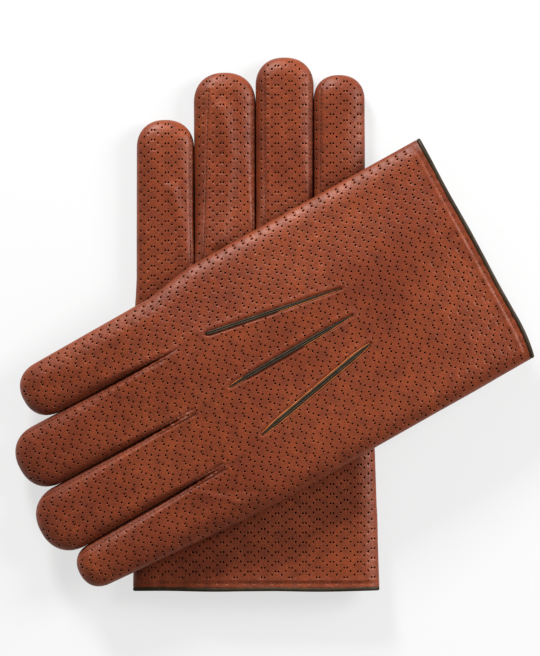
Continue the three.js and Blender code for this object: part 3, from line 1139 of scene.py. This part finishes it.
def make_points(glove):
    hand = glove["hand"]
    for number, (ends, form) in enumerate(zip(POINTS, POINT_FORMS), 1):
        t = np.linspace(0, 1, ROLL_STEPS)
        wide = form["half"] * opening(t, *form["taper"]) + LEAST_HALF
        for part, side in (("near", -1), ("far", 1)):
            uneven = 1 + 0.05 * np.sin(t * 31 + number + side)
            name = f"{hand}_point_{number}_roll_{part}"
            roll = point_strip(glove, ends, name, t, side * wide * 0.5, wide * 0.54 * uneven,
                               0.42 + 0.2 * wide, 0.05, "piping")
            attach(roll, f"{hand}_glove")
            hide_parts(f"{hand}_back_point_{number}")
        for order, (side, first, last) in enumerate(form["edges"]):
            t = np.linspace(first, last, EDGE_STEPS)
            wide = form["half"] * opening(t, *form["taper"]) + LEAST_HALF
            fade = np.sqrt(np.clip(np.minimum(t - first, last - t) / 0.06, 0.05, 1))
            rough = 1 + 0.12 * np.sin(t * 57 + order)
            name = f"{hand}_point_{number}_cut_edge_{order + 1}"
            edge = point_strip(glove, ends, name, t, side * (wide + 0.2), 0.22 * fade * rough,
                               0.34 * fade, 0.06, "raw_edge")
            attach(edge, f"{hand}_glove")


# ---------------------------------------------------------------- stitches
def stitch_tree():
    """Small beads of thread along a line, one at each step."""
    tree = bpy.data.node_groups.new("stitch_line", "GeometryNodeTree")
    tree_socket(tree, "Geometry", "NodeSocketGeometry")
    tree_socket(tree, "Step", "NodeSocketFloat", value=0.002)
    tree_socket(tree, "Length", "NodeSocketFloat", value=0.0015)
    tree_socket(tree, "Thread", "NodeSocketFloat", value=0.0002)
    tree_socket(tree, "Colour", "NodeSocketMaterial")
    tree_socket(tree, "Geometry", "NodeSocketGeometry", "OUTPUT")
    new, link = tree.nodes.new, tree.links.new
    given, out = new("NodeGroupInput"), new("NodeGroupOutput")
    curve, spaced = new("GeometryNodeMeshToCurve"), new("GeometryNodeResampleCurve")
    spaced.mode = "LENGTH"
    tangent, turn = new("GeometryNodeInputTangent"), new("FunctionNodeAlignRotationToVector")
    turn.axis = "Z"
    bead, copies = new("GeometryNodeMeshIcoSphere"), new("GeometryNodeInstanceOnPoints")
    bead.inputs["Subdivisions"].default_value = 1
    bead.inputs["Radius"].default_value = 1.0
    size = new("ShaderNodeCombineXYZ")
    half = new("ShaderNodeMath")
    half.operation = "MULTIPLY"
    half.inputs[1].default_value = 0.5
    real, smooth = new("GeometryNodeRealizeInstances"), new("GeometryNodeSetShadeSmooth")
    finish = new("GeometryNodeSetMaterial")
    link(given.outputs["Step"], spaced.inputs["Length"])
    link(tangent.outputs["Tangent"], turn.inputs["Vector"])
    link(turn.outputs["Rotation"], copies.inputs["Rotation"])
    link(given.outputs["Length"], half.inputs[0])
    link(given.outputs["Thread"], size.inputs["X"])
    link(given.outputs["Thread"], size.inputs["Y"])
    link(half.outputs[0], size.inputs["Z"])
    link(size.outputs[0], copies.inputs["Scale"])
    link(bead.outputs["Mesh"], copies.inputs["Instance"])
    link(given.outputs["Colour"], finish.inputs["Material"])
    chained(tree, given, curve, spaced, copies, real, smooth, finish, out)
    return tree


STITCHES = stitch_tree()


def stitched(name, lines, step=2.0, length=1.5, thread=0.19):
    """One object of stitches along several lines of points in metres."""
    mesh = bpy.data.meshes.new(name)
    points, edges = [], []
    for line in lines:
        first = len(points)
        points += [tuple(p) for p in line]
        edges += [(first + i, first + i + 1) for i in range(len(line) - 1)]
    mesh.from_pydata(points, edges, [])
    obj = in_scene(name, mesh)
    modifier = obj.modifiers.new("stitch_line", "NODES")
    modifier.node_group = STITCHES
    set_input(modifier, "Step", step * MM)
    set_input(modifier, "Length", length * MM)
    set_input(modifier, "Thread", thread * MM)
    set_input(modifier, "Colour", MATERIALS["thread"])
    made = evaluated_mesh(obj)
    obj.modifiers.remove(modifier)
    obj.data = made
    return obj


SEAM_STEPS = 90
CUFF_SEAM_REACH = 53
CUFF_SEAM_STEPS = 160
THREAD_PROUD = 0.05


def surface_line(glove, u, v, face=1):
    return laid(glove, u, v, outer(glove, u, v, face) + face * THREAD_PROUD)


def make_stitches(glove):
    hand = glove["hand"]
    for name in finger_names(glove):
        lines = []
        for found, start, end in seam_lines(glove):
            if found == name:
                t = np.linspace(0, 1, SEAM_STEPS)
                u, v = start[0] + t * (end[0] - start[0]), start[1] + t * (end[1] - start[1])
                lines.append(surface_line(glove, u, v))
        obj = stitched(f"{hand}_{name}_seam_stitches", lines)
        blend_finger(obj, glove, name)
    across = np.linspace(-CUFF_SEAM_REACH, CUFF_SEAM_REACH, CUFF_SEAM_STEPS)
    along = np.full_like(across, CUFF_SEAM_V)
    lines = [surface_line(glove, across, along, face) for face in (1, -1)]
    cuff = stitched(f"{hand}_cuff_stitches", lines, step=1.8, length=1.3)
    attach(cuff, f"{hand}_glove")


# ---------------------------------------------------------------- stage, light, camera
def make_stage():
    size, just_below = 6.0, -0.0002
    corners = [(-size, -size, 0), (size, -size, 0), (size, size, 0), (-size, size, 0)]
    mesh = bpy.data.meshes.new("floor")
    mesh.from_pydata(corners, [], [(0, 1, 2, 3)])
    floor = in_scene("floor", mesh)
    floor.location.z = just_below
    material, _, shader = node_material("pale_floor")
    shader.inputs["Base Color"].default_value = (0.2, 0.2, 0.2, 1)
    shader.inputs["Roughness"].default_value = 1.0
    shader.inputs["Specular IOR Level"].default_value = 0.0
    shader.inputs["Emission Color"].default_value = (1, 1, 1, 1)
    shader.inputs["Emission Strength"].default_value = 0.56
    mesh.materials.append(material)


def area_light(name, place, size, power):
    light = bpy.data.lights.new(name, "AREA")
    light.shape, light.size, light.size_y, light.energy = "RECTANGLE", size, size, power
    obj = in_scene(name, light)
    obj.location = place
    obj.rotation_euler = (-Vector(place)).to_track_quat("-Z", "Y").to_euler()


def make_lights():
    world = bpy.data.worlds.new("soft_studio")
    world.use_nodes = True
    world.node_tree.nodes["Background"].inputs["Color"].default_value = (1, 1, 1, 1)
    world.node_tree.nodes["Background"].inputs["Strength"].default_value = 0.32
    bpy.context.scene.world = world
    area_light("key_softbox", (-0.5, 1.25, 0.7), 0.35, 27)
    area_light("cuff_softbox", (1.15, 0.4, 0.75), 0.6, 19)


def make_camera():
    """Straight down, from far off, so that the pair shows as it lies."""
    camera = bpy.data.cameras.new("camera")
    view_width, view_distance, height_in_focus = 0.2495, 4.0, 0.016
    camera.sensor_fit = "HORIZONTAL"
    camera.sensor_width = 36
    camera.lens = camera.sensor_width * view_distance / view_width
    camera.clip_end = 50
    obj = in_scene("camera", camera)
    obj.location = (-0.0036, -0.0014, view_distance + height_in_focus)
    bpy.context.scene.camera = obj


make_camera()
make_stage()
make_lights()
for glove_made in GLOVES.values():
    make_hand(glove_made)
    make_fingers(glove_made)
    make_inside(glove_made)
    make_thumb(glove_made)
    make_cuff_piping(glove_made)
    make_points(glove_made)
    make_stitches(glove_made)
bpy.context.scene.view_settings.view_transform = "Standard"
bpy.context.scene.view_settings.look = "Medium High Contrast"
